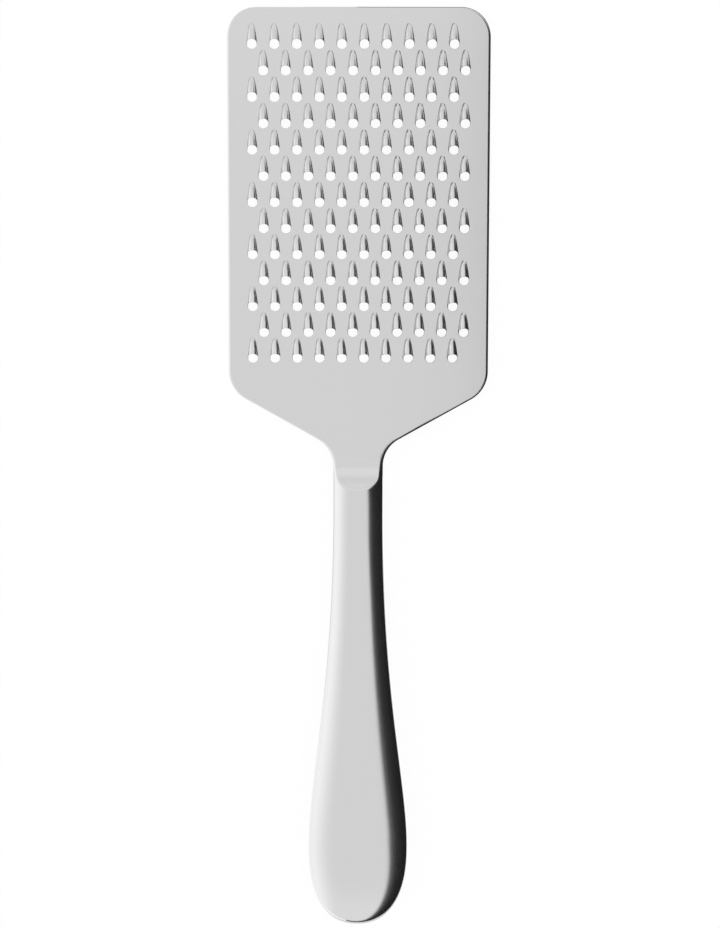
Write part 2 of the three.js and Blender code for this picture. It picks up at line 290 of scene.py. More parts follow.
def loft(bm, sections):
    """A tube of oval rings through sections of place, half width and half thickness."""
    y, width, thickness = sections[0]
    stand = Matrix.Translation((0, y, 0)) @ Matrix.Diagonal((width, 1, thickness, 1))
    circle = Matrix.Rotation(math.pi / 2, 4, "X")
    rings = [bmesh.ops.create_circle(bm, segments=HANDLE_SIDES, radius=1, matrix=stand @ circle)["verts"]]
    for y_next, width_next, thickness_next in sections[1:]:
        ring = next_ring(bm, rings[-1])
        bmesh.ops.scale(bm, verts=ring, vec=(width_next / width, 1, thickness_next / thickness))
        bmesh.ops.translate(bm, verts=ring, vec=(0, y_next - y, 0))
        y, width, thickness = y_next, width_next, thickness_next
        rings.append(ring)
    return rings


def cap(bm, ring):
    bmesh.ops.contextual_create(bm, geom=[bm.edges.get(pair) for pair in zip(ring, ring[1:] + ring[:1])])


def crease(bm):
    """Marks sharp the edges where faces meet at a real corner."""
    for edge in bm.edges:
        edge.smooth = not (edge.is_manifold and edge.calc_face_angle() > CREASE)


def shade_smooth(bm):
    for face in bm.faces:
        face.smooth = True


def new_object(bm, name, material):
    """Turns a finished mesh into an object of the scene."""
    mesh = bpy.data.meshes.new(name)
    bm.to_mesh(mesh)
    bm.free()
    mesh.materials.append(material)
    made = bpy.data.objects.new(name, mesh)
    bpy.context.scene.collection.objects.link(made)
    return made


def set_piece(bm, name, node, material, sheet):
    """Lays a finished mesh into the frame as the piece that stands for a node of the part."""
    bmesh.ops.transform(bm, verts=bm.verts, matrix=rest_place(sheet))
    crease(bm)
    piece = new_object(bm, name, material)
    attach(piece, "root")
    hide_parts(node)


def add_node(tree, kind, inputs=(), **settings):
    """Adds a node, sets it up, and gives its inputs a value or another node's output."""
    made = tree.nodes.new(kind)
    for name, value in settings.items():
        setattr(made, name, value)
    for name, value in dict(inputs).items():
        if isinstance(value, bpy.types.NodeSocket):
            tree.links.new(value, made.inputs[name])
        else:
            made.inputs[name].default_value = value
    return made


def new_material(name):
    material = bpy.data.materials.new(name)
    material.use_nodes = True
    material.node_tree.nodes.clear()
    return material, material.node_tree


# Stainless sheet, brushed fine and blasted after pressing: an even pale grey with a soft mirror of the room.
# The brush lines are about 0.02 mm apart; they are drawn 0.25 mm apart, so that they show at all close up.
def satin_stainless(name, steel, roughness, line_strength):
    material, tree = new_material(name)
    across, along, spread = 1 / (0.25 * MM), 60, 0.03
    place = add_node(tree, "ShaderNodeTexCoord")
    brushed = add_node(tree, "ShaderNodeMapping", {
        "Vector": place.outputs["Object"], "Scale": (across, along, across)})
    lines = add_node(tree, "ShaderNodeTexNoise", {
        "Vector": brushed.outputs["Vector"], "Scale": 1, "Detail": 2, "Roughness": 0.5})
    cloud = add_node(tree, "ShaderNodeTexNoise", {
        "Vector": place.outputs["Object"], "Scale": 45, "Detail": 3, "Roughness": 0.55})
    both = add_node(tree, "ShaderNodeMath", {
        0: lines.outputs["Fac"], 1: cloud.outputs["Fac"]}, operation="ADD")
    gloss = add_node(tree, "ShaderNodeMapRange", {
        "Value": both.outputs[0], "From Min": 0.6, "From Max": 1.4,
        "To Min": roughness - spread, "To Max": roughness + spread})
    bump = add_node(tree, "ShaderNodeBump", {
        "Height": lines.outputs["Fac"], "Strength": line_strength, "Distance": 0.01 * MM})
    surface = add_node(tree, "ShaderNodeBsdfPrincipled", {
        "Base Color": (*steel, 1), "Metallic": 1, "Roughness": gloss.outputs["Result"],
        "Normal": bump.outputs["Normal"]})
    add_node(tree, "ShaderNodeOutputMaterial", {"Surface": surface.outputs["BSDF"]})
    return material


# Silver braze that ran into the joint and set: warm, slightly rippled and half bright.
def silver_braze(metal):
    material, tree = new_material("silver_braze_as_set")
    place = add_node(tree, "ShaderNodeTexCoord")
    ripple = add_node(tree, "ShaderNodeTexNoise", {
        "Vector": place.outputs["Object"], "Scale": 900, "Detail": 3, "Roughness": 0.5})
    gloss = add_node(tree, "ShaderNodeMapRange", {
        "Value": ripple.outputs["Fac"], "To Min": 0.3, "To Max": 0.5})
    bump = add_node(tree, "ShaderNodeBump", {
        "Height": ripple.outputs["Fac"], "Strength": 0.3, "Distance": 0.05 * MM})
    surface = add_node(tree, "ShaderNodeBsdfPrincipled", {
        "Base Color": (*metal, 1), "Metallic": 1, "Roughness": gloss.outputs["Result"],
        "Normal": bump.outputs["Normal"]})
    add_node(tree, "ShaderNodeOutputMaterial", {"Surface": surface.outputs["BSDF"]})
    return material


# The root of a weld run: overlapping ripples about 0.8 mm apart, dull from the heat.
def weld_bead(metal):
    material, tree = new_material("stainless_weld_bead")
    place = add_node(tree, "ShaderNodeTexCoord")
    ripples = add_node(tree, "ShaderNodeTexWave", {
        "Vector": place.outputs["Object"], "Scale": 400, "Distortion": 2, "Detail": 2},
        bands_direction="Y")
    gloss = add_node(tree, "ShaderNodeMapRange", {
        "Value": ripples.outputs["Fac"], "To Min": 0.4, "To Max": 0.6})
    bump = add_node(tree, "ShaderNodeBump", {
        "Height": ripples.outputs["Fac"], "Strength": 0.5, "Distance": 0.1 * MM})
    surface = add_node(tree, "ShaderNodeBsdfPrincipled", {
        "Base Color": (*metal, 1), "Metallic": 1, "Roughness": gloss.outputs["Result"],
        "Normal": bump.outputs["Normal"]})
    add_node(tree, "ShaderNodeOutputMaterial", {"Surface": surface.outputs["BSDF"]})
    return material


# Cast mineral filler: matt, with sand grains of about 0.3 mm and small pores.
def cast_filler(stone):
    material, tree = new_material("cast_mineral_filler")
    place = add_node(tree, "ShaderNodeTexCoord")
    grains = add_node(tree, "ShaderNodeTexVoronoi", {"Vector": place.outputs["Object"], "Scale": 3300})
    tone = add_node(tree, "ShaderNodeMix", {
        "Factor": grains.outputs["Distance"],
        "A": (*[c * 0.8 for c in stone], 1), "B": (*stone, 1)}, data_type="RGBA")
    bump = add_node(tree, "ShaderNodeBump", {
        "Height": grains.outputs["Distance"], "Strength": 0.4, "Distance": 0.1 * MM})
    surface = add_node(tree, "ShaderNodeBsdfPrincipled", {
        "Base Color": tone.outputs["Result"], "Roughness": 0.9, "Normal": bump.outputs["Normal"]})
    add_node(tree, "ShaderNodeOutputMaterial", {"Surface": surface.outputs["BSDF"]})
    return material


# White sweep paper, lit to white behind the grater, with a little of the grater's shadow left on it.
def sweep_paper(paper):
    material, tree = new_material("white_sweep_paper")
    lit = 0.95
    path = add_node(tree, "ShaderNodeLightPath")
    seen = add_node(tree, "ShaderNodeMath", {
        0: path.outputs["Is Camera Ray"], 1: path.outputs["Is Glossy Ray"]}, operation="ADD")
    shown = add_node(tree, "ShaderNodeMath", {
        0: seen.outputs[0], 1: path.outputs["Is Transmission Ray"]}, operation="ADD", use_clamp=True)
    white = add_node(tree, "ShaderNodeMath", {0: shown.outputs[0], 1: lit}, operation="MULTIPLY")
    matt = add_node(tree, "ShaderNodeBsdfDiffuse", {"Color": (*paper, 1)})
    glow = add_node(tree, "ShaderNodeEmission", {"Color": (1, 1, 1, 1), "Strength": 1})
    mixed = add_node(tree, "ShaderNodeMixShader", {
        "Fac": white.outputs[0], 1: matt.outputs["BSDF"], 2: glow.outputs["Emission"]})
    add_node(tree, "ShaderNodeOutputMaterial", {"Surface": mixed.outputs["Shader"]})
    return material


def side_edge(tree, where):
    """How far past the soft edge of the side flag, a line that slants away towards the handle."""
    edge, slant, run, feather = 84 * MM, 50 * MM, 150 * MM, 6.5 * MM
    line = add_node(tree, "ShaderNodeMapRange", {
        "Value": where.outputs["Y"], "From Min": -run, "From Max": 0,
        "To Min": edge + slant, "To Max": edge})
    past = add_node(tree, "ShaderNodeMath", {
        0: where.outputs["X"], 1: line.outputs["Result"]}, operation="SUBTRACT")
    return add_node(tree, "ShaderNodeMath", {0: past.outputs[0], 1: feather}, operation="DIVIDE")


def handle_edge(tree, where):
    """How far below the soft edge of the handle flag, which falls along the handle and bows at its end."""
    edge, bend, least, bow = 39.6 * MM, -122 * MM, 0.02, 0.36
    feather, thinning = 0.07, 0.2
    for low, high, rise in (
        (-117.4 * MM, -43.7 * MM, 18.6 * MM),
        (-43.7 * MM, -25.2 * MM, 9.5 * MM),
    ):
        step = add_node(tree, "ShaderNodeMapRange", {
            "Value": where.outputs["Y"], "From Min": low, "From Max": high, "To Min": 0, "To Max": rise})
        edge = add_node(tree, "ShaderNodeMath", {
            0: edge, 1: step.outputs["Result"]}, operation="ADD").outputs[0]
    left = add_node(tree, "ShaderNodeMapRange", {
        "Value": where.outputs["Y"], "From Min": FLAG_END, "From Max": bend, "To Min": least, "To Max": 1})
    fall = add_node(tree, "ShaderNodeMath", {0: left.outputs["Result"], 1: bow}, operation="POWER")
    top = add_node(tree, "ShaderNodeMath", {0: edge, 1: fall.outputs[0]}, operation="MULTIPLY")
    height = add_node(tree, "ShaderNodeMath", {
        0: where.outputs["Z"], 1: top.outputs[0]}, operation="DIVIDE")
    below = add_node(tree, "ShaderNodeMath", {0: 1.0, 1: height.outputs[0]}, operation="SUBTRACT")
    thin = add_node(tree, "ShaderNodeMath", {0: left.outputs["Result"], 1: thinning}, operation="POWER")
    soft = add_node(tree, "ShaderNodeMath", {0: thin.outputs[0], 1: feather}, operation="MULTIPLY")
    return add_node(tree, "ShaderNodeMath", {0: below.outputs[0], 1: soft.outputs[0]}, operation="DIVIDE")


# Black felt on the flags. With an edge, it thins out softly there and thickens more slowly than it starts.
def flag_felt(name, black, edge=None):
    material, tree = new_material(name)
    slow, start = 0.5, 0.7
    felt = add_node(tree, "ShaderNodeBsdfDiffuse", {"Color": (*black, 1)})
    surface = felt.outputs["BSDF"]
    if edge:
        place = add_node(tree, "ShaderNodeTexCoord")
        where = add_node(tree, "ShaderNodeSeparateXYZ", {"Vector": place.outputs["Object"]})
        depth = edge(tree, where)
        later = add_node(tree, "ShaderNodeMath", {
            0: depth.outputs[0], 1: slow, 2: start}, operation="MULTIPLY_ADD")
        least = add_node(tree, "ShaderNodeMath", {
            0: depth.outputs[0], 1: later.outputs[0]}, operation="MINIMUM")
        half = add_node(tree, "ShaderNodeMath", {0: least.outputs[0], 1: 0.5}, operation="MULTIPLY")
        turn = add_node(tree, "ShaderNodeMath", {0: half.outputs[0]}, operation="TANH")
        cover = add_node(tree, "ShaderNodeMath", {
            0: turn.outputs[0], 1: 0.5, 2: 0.5}, operation="MULTIPLY_ADD")
        clear = add_node(tree, "ShaderNodeBsdfTransparent")
        mixed = add_node(tree, "ShaderNodeMixShader", {
            "Fac": cover.outputs[0], 1: clear.outputs["BSDF"], 2: surface})
        surface = mixed.outputs["Shader"]
    add_node(tree, "ShaderNodeOutputMaterial", {"Surface": surface})
    return material


# A lit white card beside the grater, brighter than the paper.
def white_card(level):
    material, tree = new_material("lit_white_card")
    glow = add_node(tree, "ShaderNodeEmission", {"Color": (1, 1, 1, 1), "Strength": level})
    add_node(tree, "ShaderNodeOutputMaterial", {"Surface": glow.outputs["Emission"]})
    return material


def rounded_line(bm, corners):
    """Draws a line through the corners, and turns each one on an arc of its own radius."""
    last = bmesh.ops.create_vert(bm, co=corners[0][0])["vert"][0]
    for (before, _), (corner, radius), (after, _) in zip(corners, corners[1:], corners[2:]):
        into, out = (corner - before).normalized(), (after - corner).normalized()
        turn = math.atan2(into.cross(out).z, into.dot(out))
        start = corner - into * radius * math.tan(abs(turn) / 2)
        last = bmesh.ops.extrude_vert_indiv(bm, verts=[last])["verts"][0]
        last.co = start
        centre = start + Vector((-into.y, into.x, 0)) * math.copysign(radius, turn)
        arc = bmesh.ops.spin(
            bm, geom=[last], cent=centre, axis=(0, 0, 1), angle=turn, steps=ARC_STEPS, use_merge=False)
        last = verts_of(arc["geom_last"])[0]
    bmesh.ops.extrude_vert_indiv(bm, verts=[last])["verts"][0].co = corners[-1][0]


def fillet_turn(sheet, handle):
    """How far the outline turns in the fillet between a shoulder and the neck."""
    return math.atan2((sheet.width - handle.neck_width) / 2, sheet.shoulder_drop)


def fillet_end(sheet, handle):
    """Where that fillet runs out into the straight side of the neck."""
    return -sheet.neck_fillet * math.tan(fillet_turn(sheet, handle) / 2)


def neck_rounding(sheet, handle):
    """How far in from the outline the edge is rounded where the sheet meets the neck."""
    up = math.asin((-handle.scoop_start - fillet_end(sheet, handle)) / sheet.neck_fillet)
    return sheet.edge_round * (1 + sheet.neck_edge * (1 - up / fillet_turn(sheet, handle)))


def broaden_fillet(bm, sheet, handle):
    """Makes the rounding of the edge broader along the fillets, most of all at the neck."""
    fillet, turn = sheet.neck_fillet, fillet_turn(sheet, handle)
    reach = sheet.edge_round + 2 * FLAT_BORDER
    for vert in bm.verts:
        middle = math.copysign(handle.neck_width / 2 + fillet, vert.co.x)
        away = Vector((vert.co.x - middle, vert.co.y - fillet_end(sheet, handle), 0))
        depth = away.length - fillet
        near = 1 - math.atan2(away.y, abs(middle) - abs(vert.co.x)) / turn
        if 0 < depth < reach and 0 <= near <= 1:
            vert.co += away.normalized() * depth * sheet.neck_edge * near


def sheet_blank(bm, sheet, handle):
    """The sheet without teeth. It is made thick and then pressed flat, which rounds its edges in an oval."""
    half, neck, tip = sheet.width / 2, handle.neck_width / 2, sheet_tip(sheet)
    thick = 2 * (sheet.edge_round + FLAT_BORDER)
    rounded_line(bm, [
        (Vector((0, tip, 0)), 0),
        (Vector((half, tip, 0)), sheet.tip_radius),
        (Vector((half, sheet.shoulder_drop, 0)), sheet.shoulder_radius),
        (Vector((neck, 0, 0)), sheet.neck_fillet),
        (Vector((neck, -handle.neck_straight, 0)), 0),
    ])
    bmesh.ops.mirror(bm, geom=bm.verts[:] + bm.edges[:], axis="X", merge_dist=MERGE)
    ends = sorted(bm.verts, key=lambda v: v.co.y)[:2]
    bmesh.ops.contextual_create(bm, geom=ends)
    face = bmesh.ops.contextual_create(bm, geom=bm.edges[:])["faces"]
    raised = bmesh.ops.extrude_face_region(bm, geom=face)["geom"]
    bmesh.ops.translate(bm, verts=verts_of(raised), vec=(0, 0, thick))
    bmesh.ops.translate(bm, verts=bm.verts, vec=(0, 0, -thick / 2))
    rims = [e for e in bm.edges if abs(e.verts[0].co.z - e.verts[1].co.z) < MERGE]
    bmesh.ops.bevel(
        bm, geom=rims, offset=sheet.edge_round, offset_type="OFFSET", affect="EDGES", segments=EDGE_STEPS,
        profile=0.5, material=-1)
    flats = sorted(bm.faces, key=lambda f: f.calc_area())[-2:]
    bmesh.ops.inset_individual(bm, faces=flats, thickness=FLAT_BORDER, use_even_offset=True)
    bmesh.ops.scale(bm, verts=bm.verts, vec=(1, 1, sheet.thickness / thick))
    broaden_fillet(bm, sheet, handle)
    cut = bmesh.ops.bisect_plane(
        bm, geom=everything(bm), dist=MERGE, plane_co=(0, -handle.scoop_start, 0), plane_no=(0, 1, 0),
        clear_inner=True)
    end = bmesh.ops.contextual_create(bm, geom=edges_of(cut["geom_cut"]))["faces"]
    sheet_root(bm, end, sheet)


def sheet_root(bm, end, sheet):
    """Draws the end of the sheet out into the tongue that the neck holds."""
    bmesh.ops.inset_individual(bm, faces=end, thickness=FLAT_BORDER)
    verts = end[0].verts[:]
    wide = max(v.co.x for v in verts)
    high = max(v.co.z for v in verts)
    bmesh.ops.scale(
        bm, verts=verts, vec=(sheet.root_width / 2 / wide, 1, sheet.root_thickness / 2 / high))
    drawn = bmesh.ops.extrude_discrete_faces(bm, faces=end)["faces"]
    bmesh.ops.translate(bm, verts=drawn[0].verts[:], vec=(0, -sheet.root_length, 0))


def hood_half_width(teeth, way):
    """Half the width of a hood at this share of the way from its mouth to its nose."""
    power = teeth.nose_power
    return teeth.hood_radius * (1 - teeth.hood_taper * way) * (1 - way ** power) ** (1 / power)


def hood_profile(teeth, way):
    """Height of a hood's middle at this share of the way, where 1 is a full hood at the mouth."""
    return (1 - way ** teeth.hood_power) ** (1 / teeth.hood_power)


def tooth_rings(teeth, thickness):
    """Rings of one tooth from the sheet round its foot, over the lip and down through the sheet.

    Each is its half width, its reach, the share of the hood's height that it follows, its height above that
    at the nose and at the mouth, and the radius and height of its front half, which is the wall of the hole.
    """
    lean = math.tan(teeth.lip_lean)
    run = teeth.hood_reach - teeth.mouth
    inner = teeth.lip_height - teeth.lip_wall
    hole = teeth.hole_radius
    rings = []
    for part, sink in ((1, 0), (FOOT_BOTTOM, teeth.foot_sink)):
        foot = teeth.foot * part
        rings.append((teeth.hood_radius + foot, teeth.hood_reach + foot, 0, -sink, 0, hole + foot, 0))
    power = 2 / teeth.hood_power
    full = math.acos((lean * teeth.lip_height / run) ** (1 / power))
    for i in range(HOOD_STEPS + 1):
        turn = full * (FOOT_SHARE + (1 - FOOT_SHARE) * i / HOOD_STEPS)
        reach = teeth.mouth + run * math.cos(turn) ** power
        rings.append((teeth.hood_radius, reach, 1, 0, CORNER_STEP * (i + 1), hole, -WALL_STEP * (i + 1)))
    rings.append((
        teeth.hood_radius - teeth.lip_wall, teeth.mouth + lean * inner, inner / teeth.lip_height, 0,
        -LIP_SINK, hole, -LIP_DEPTH))
    rings.append((hole, teeth.back_reach, 0, -thickness, -thickness, hole, -thickness))
    return rings


def tooth(bm, teeth, thickness):
    """One tooth at the origin, open at the sheet's front face and at its back."""
    ring = bmesh.ops.create_circle(bm, segments=TOOTH_SIDES, radius=1)["verts"]
    angles = [math.atan2(v.co.y, v.co.x) for v in ring]
    run = teeth.hood_reach - teeth.mouth
    crest = teeth.lip_height / hood_profile(teeth, math.tan(teeth.lip_lean) * teeth.lip_height / run)
    rings = tooth_rings(teeth, thickness)
    for i, (width, reach, hood, height, corner, radius, depth) in enumerate(rings):
        ring = next_ring(bm, ring) if i else ring
        for vert, angle in zip(ring, angles):
            across, along = math.cos(angle), math.sin(angle)
            if along > -LEVEL:
                way = abs(along) ** HOOD_SPREAD
                half = hood_half_width(teeth, way)
                y = teeth.mouth + (reach - teeth.mouth) * way
                rise = corner + (height - corner) * way
                if hood:
                    place = (y - teeth.mouth) / run
                    part = min(half / hood_half_width(teeth, place), 1)
                    rise += hood * crest * hood_profile(teeth, place) * (
                        1 - part ** teeth.section_power) ** (1 / teeth.section_power)
                vert.co = (math.copysign(half, across) * width / teeth.hood_radius, y, rise)
            else:
                blend = min(1, -along * SIDE_BLEND)
                side = width + (radius - width) * blend
                vert.co = (side * across, radius * along, corner + (depth - corner) * blend)


def tooth_places(sheet, teeth):
    """Centres of the holes: rows shifted a quarter of the pitch to either side in turn."""
    for row in range(teeth.rows):
        shift = (teeth.pitch if row % 2 else -teeth.pitch) / 4
        for column in range(teeth.per_row):
            x = (column - (teeth.per_row - 1) / 2) * teeth.pitch + shift
            y = sheet_tip(sheet) - teeth.first_row - row * teeth.row_pitch
            yield Vector((x, y, sheet.thickness / 2))


def teeth_field(bm, sheet, teeth):
    """All the teeth at their places on the front face."""
    tooth(bm, teeth, sheet.thickness)
    pattern = everything(bm)
    first, *others = tooth_places(sheet, teeth)
    for place in others:
        copy = bmesh.ops.duplicate(bm, geom=pattern)["geom"]
        bmesh.ops.translate(bm, verts=verts_of(copy), vec=place)
    bmesh.ops.translate(bm, verts=verts_of(pattern), vec=first)


class GRATER_OT_blade(Operator):
    """Builds the toothed steel sheet"""
    bl_idname = "grater.blade"
    bl_label = "Blade"

    def execute(self, context):
        sheet, teeth = context.scene.grater_sheet, context.scene.grater_teeth
        finish = context.scene.grater_finish
        bm = bmesh.new()
        sheet_blank(bm, sheet, context.scene.grater_handle)
        flat = sorted(bm.faces, key=lambda f: f.calc_area())[-2:]
        bmesh.ops.delete(bm, geom=flat, context="FACES_ONLY")
        stamp = bpy.data.meshes.new("teeth")
        field = bmesh.new()
        teeth_field(field, sheet, teeth)
        field.to_mesh(stamp)
        field.free()
        bm.from_mesh(stamp)
        bpy.data.meshes.remove(stamp)
        shade_smooth(bm)
        open_edges = [e for e in bm.edges if e.is_boundary]
        for side in (1, -1):
            rims = [e for e in open_edges if e.verts[0].co.z * side > 0]
            bmesh.ops.triangle_fill(bm, edges=rims, use_beauty=True, normal=(0, 0, side))
        bmesh.ops.recalc_face_normals(bm, faces=bm.faces)
        steel = satin_stainless(
            "satin_stainless_sheet", finish.sheet_steel, finish.sheet_roughness, finish.sheet_lines)
        set_piece(bm, "blade", "grater_blade", steel, sheet)
        return {"FINISHED"}


def neck_sections(sheet, handle):
    """Ovals of the neck from the sheet, whose fillet it carries on, to the mouth of the shells."""
    start, mouth, fillet = -handle.scoop_start, shell_mouth(handle, sheet), sheet.neck_fillet
    straight = fillet_end(sheet, handle)
    sections = []
    for i in range(NECK_STEPS + 1):
        y = start + (mouth - start) * i / NECK_STEPS
        flare = fillet - math.sqrt(fillet ** 2 - max(y - straight, 0) ** 2)
        sections.append((y, handle.neck_width / 2 + flare, handle.neck_thickness / 2))
    return sections


def soft_least(a, b, blend):
    """The lesser of two heights, with the corner between them rounded, but never down to nothing."""
    blend = max(min(a, b, blend), MERGE)
    near = max(blend - abs(a - b), 0) / blend
    return min(a, b) - near * near * blend / 4


class GRATER_OT_neck(Operator):
    """Builds the forged neck with its scoop, slot, spigot and tang"""
    bl_idname = "grater.neck"
    bl_label = "Neck"

    def execute(self, context):
        sheet, handle = context.scene.grater_sheet, context.scene.grater_handle
        finish = context.scene.grater_finish
        bm = bmesh.new()
        rings = loft(bm, neck_sections(sheet, handle))
        for ring in rings:
            half = max(v.co.x for v in ring)
            top = sheet.thickness / 2 + scoop_rise(handle, ring[0].co.y)
            for vert in ring:
                inset = min((half - abs(vert.co.x)) / neck_rounding(sheet, handle), 1)
                lid = top * math.sqrt(1 - (1 - inset) ** 2)
                vert.co.z = math.copysign(soft_least(abs(vert.co.z), lid, handle.rim), vert.co.z)
        slot = next_ring(bm, rings[0])
        wide, high = (max(getattr(v.co, axis) for v in slot) for axis in "xz")
        bmesh.ops.scale(
            bm, verts=slot, vec=(handle.slot_width / 2 / wide, 1, handle.slot_height / 2 / high))
        slot = next_ring(bm, slot)
        bmesh.ops.translate(bm, verts=slot, vec=(0, -handle.slot_depth, 0))
        cap(bm, slot)
        width, thickness = handle.neck_width / 2, handle.neck_thickness / 2
        ring = rings[-1]
        for half_width, half_thickness, run in (
            (width - handle.spigot_inset, thickness - handle.spigot_inset, handle.spigot),
            (handle.tang_width / 2, handle.tang_thickness / 2, handle.tang),
        ):
            ring = next_ring(bm, ring)
            bmesh.ops.scale(bm, verts=ring, vec=(half_width / width, 1, half_thickness / thickness))
            width, thickness = half_width, half_thickness
            ring = next_ring(bm, ring)
            bmesh.ops.translate(bm, verts=ring, vec=(0, -run, 0))
        cap(bm, ring)
        bmesh.ops.recalc_face_normals(bm, faces=bm.faces)
        shade_smooth(bm)
        steel = satin_stainless(
            "satin_stainless_forging", finish.handle_steel, finish.handle_roughness, finish.handle_lines)
        set_piece(bm, "neck", "neck_bolster", steel, sheet)
        return {"FINISHED"}


def shell_sections(sheet, handle):
    """Ovals of the handle from the mouth of the shells to just before its end."""
    neck = (handle.neck_width / 2, handle.neck_thickness / 2)
    belly = (handle.belly_width / 2, handle.belly_thickness / 2)
    start, widest = -handle.neck_straight, -handle.neck_straight - handle.swell
    sections = [(shell_mouth(handle, sheet), *neck)]
    for i in range(SWELL_STEPS + 1):
        t = i / SWELL_STEPS
        y = ((1 - t) ** 3 * start + 3 * t * (1 - t) ** 2 * (start - handle.ease_in)
             + 3 * t * t * (1 - t) * (widest + handle.ease_out) + t ** 3 * widest)
        swollen = t * t * (3 - 2 * t)
        sections.append((y, *(a + (b - a) * swollen for a, b in zip(neck, belly))))
    for i in range(1, TAIL_STEPS):
        u = math.sin(i / TAIL_STEPS * math.pi / 2)
        powers = (handle.tail_width_power, handle.tail_thickness_power)
        sections.append((
            widest - handle.tail * u, *(half * (1 - u ** p) ** (1 / p) for half, p in zip(belly, powers))))
    return sections


class GRATER_OT_shells(Operator):
    """Builds the two pressed halves of the handle"""
    bl_idname = "grater.shells"
    bl_label = "Handle shells"

    def execute(self, context):
        sheet, handle = context.scene.grater_sheet, context.scene.grater_handle
        finish = context.scene.grater_finish
        steel = satin_stainless(
            "satin_stainless_pressing", finish.handle_steel, finish.handle_roughness, finish.handle_lines)
        for name, node, side in (
            ("front_shell", "handle_front_shell", 1),
            ("back_shell", "handle_back_shell", -1),
        ):
            bm = bmesh.new()
            rings = loft(bm, shell_sections(sheet, handle))
            end = next_ring(bm, rings[-1])
            tip = -handle.neck_straight - handle.swell - handle.tail
            bmesh.ops.pointmerge(bm, verts=end, merge_co=(0, tip, 0))
            for height in (0, side * SEAM_STRIP):
                bmesh.ops.bisect_plane(
                    bm, geom=everything(bm), dist=MERGE, plane_co=(0, 0, height), plane_no=(0, 0, side),
                    clear_inner=height == 0)
            bmesh.ops.recalc_face_normals(bm, faces=bm.faces)
            shade_smooth(bm)
            bmesh.ops.solidify(bm, geom=bm.faces[:], thickness=handle.wall)
            set_piece(bm, name, node, steel, sheet)
        return {"FINISHED"}


class GRATER_OT_inside(Operator):
    """Gives the pieces inside the handle their finishes"""
    bl_idname = "grater.inside"
    bl_label = "Inside of the handle"

    def execute(self, context):
        finish = context.scene.grater_finish
        for node, material in (
            ("braze_sleeve", silver_braze(finish.braze)),
            ("seam_weld", weld_bead(finish.weld)),
            ("handle_filler", cast_filler(finish.filler)),
        ):
            slots = frame["nodes"][node].data.materials
            slots.clear()
            slots.append(material)
        return {"FINISHED"}


def studio_world(studio):
    """A white room whose left wall is the brighter one; the camera sees plain white behind everything.

    Places in it are parts of a unit vector. From one place along Y to another, each slant moves the edge of
    the left wall, and each band lightens or darkens the room.
    """
    wall_begin, wall_end = 0.3, 0.975
    slants = ((0, 0.35, -0.13), (0, -0.35, -0.13), (-0.28, -0.5, 0.12))
    bands = ((0.23, 0.38, 1.09), (0.5, 0.7, 0.89), (0.74, 0.86, 1.07), (-0.45, -0.8, 1.08))
    world = bpy.data.worlds.new("white_studio")
    world.use_nodes = True
    tree = world.node_tree
    tree.nodes.clear()
    place = add_node(tree, "ShaderNodeTexCoord")
    way = add_node(tree, "ShaderNodeSeparateXYZ", {"Vector": place.outputs["Generated"]})
    left = add_node(tree, "ShaderNodeMath", {0: way.outputs["X"], 1: -1}, operation="MULTIPLY").outputs[0]
    for begin, end, shift in slants:
        slant = add_node(tree, "ShaderNodeMapRange", {
            "Value": way.outputs["Y"], "From Min": begin, "From Max": end, "To Min": 0, "To Max": shift})
        left = add_node(tree, "ShaderNodeMath", {
            0: left, 1: slant.outputs["Result"]}, operation="ADD").outputs[0]
    wall = add_node(tree, "ShaderNodeMapRange", {
        "Value": left, "From Min": wall_begin, "From Max": wall_end, "To Min": 1,
        "To Max": studio.left_light}, interpolation_type="SMOOTHSTEP")
    light = wall.outputs["Result"]
    for begin, end, level in bands:
        band = add_node(tree, "ShaderNodeMapRange", {
            "Value": way.outputs["Y"], "From Min": begin, "From Max": end, "To Min": 1, "To Max": level},
            interpolation_type="SMOOTHSTEP")
        light = add_node(tree, "ShaderNodeMath", {
            0: light, 1: band.outputs["Result"]}, operation="MULTIPLY").outputs[0]
    path = add_node(tree, "ShaderNodeLightPath")
    shown = add_node(tree, "ShaderNodeMix", {
        "Factor": path.outputs["Is Camera Ray"], "A": light, "B": 1.0})
    room = add_node(tree, "ShaderNodeBackground", {
        "Color": (1, 1, 1, 1), "Strength": shown.outputs["Result"]})
    add_node(tree, "ShaderNodeOutputWorld", {"Surface": room.outputs["Background"]})
    bpy.context.scene.world = world


def stage_piece(bm, name, material):
    piece = new_object(bm, name, material)
    return piece


def stage_plane(name, matrix, material):
    """A plane of the studio, one metre each way before it is placed."""
    bm = bmesh.new()
    bmesh.ops.create_grid(bm, x_segments=1, y_segments=1, size=0.5, matrix=matrix)
    return stage_piece(bm, name, material)


def low_flag(name, corners, height, material):
    """A low black wall beside the grater, whose foot is level with the middle of the sheet and handle."""
    bm = bmesh.new()
    rounded_line(bm, [(Vector((x, y, 0)), radius) for x, y, radius in corners])
    for vert in bm.verts:
        vert.co.z = FLAG_FOOT + SHEET_DOWN.y * vert.co.y
    raised = bmesh.ops.extrude_edge_only(bm, edges=bm.edges[:])["geom"]
    bmesh.ops.translate(bm, verts=verts_of(raised), vec=(0, 0, height))
    return stage_piece(bm, name, material)


